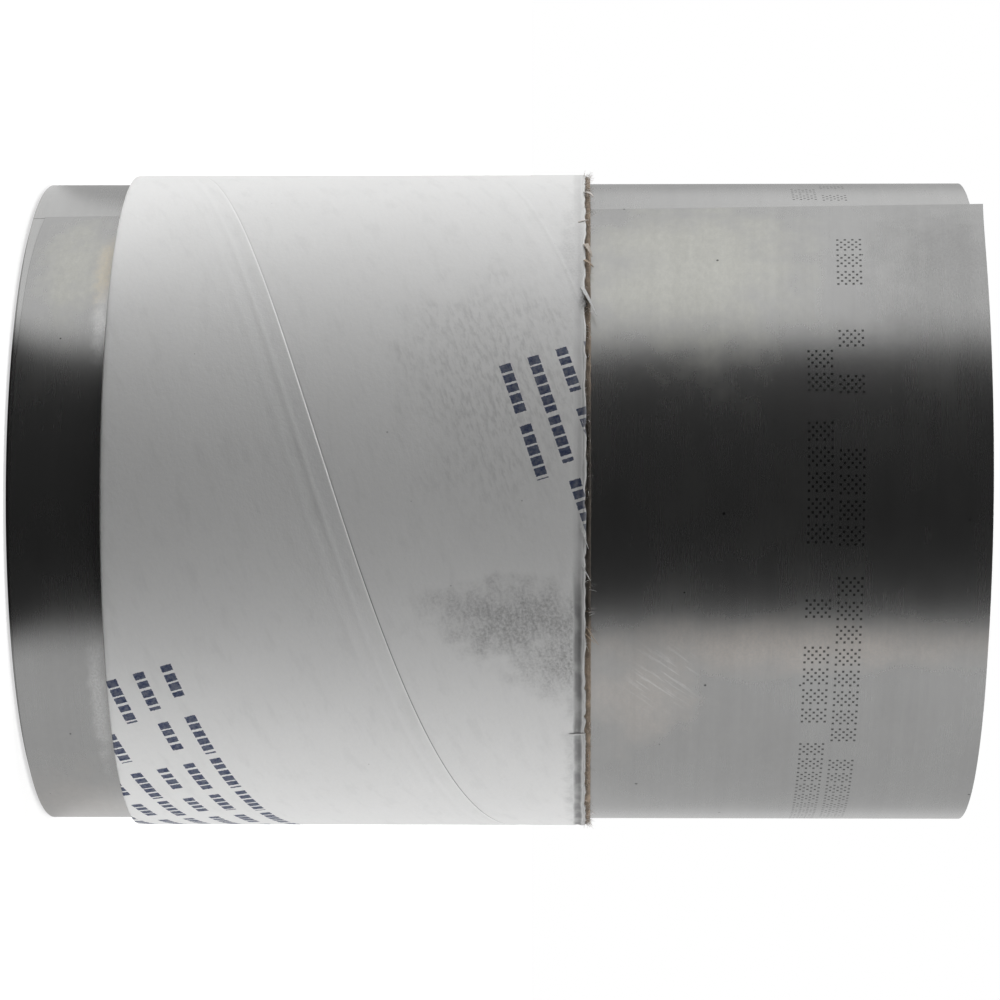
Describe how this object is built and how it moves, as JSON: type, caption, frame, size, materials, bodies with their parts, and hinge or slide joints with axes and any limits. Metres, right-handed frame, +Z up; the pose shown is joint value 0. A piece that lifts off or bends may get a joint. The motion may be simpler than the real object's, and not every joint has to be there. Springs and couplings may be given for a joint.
{
  "type": "roll of steel shim stock",
  "caption": "Roll of thin bright steel strip wound on itself, held closed by a short white-faced paperboard sleeve, with an open bore through its middle.",
  "frame": {"origin": "on the surface that the roll stands on, under its axis", "axes": "+Z up along the roll's axis, with the longer bare stretch of strip at the top; -Y is the front; the strip's outer end is at the front, on the -X side"},
  "size_m": [0.1102, 0.1102, 0.1551],
  "materials": {
    "steel": "bright cold-rolled strip with a fine grain along its length",
    "card": "matte white paper over brown board, spirally wound"
  },
  "bodies": {
    "root": {"steel_roll": "steel", "card_sleeve": "card"}
  },
  "joints": []
}
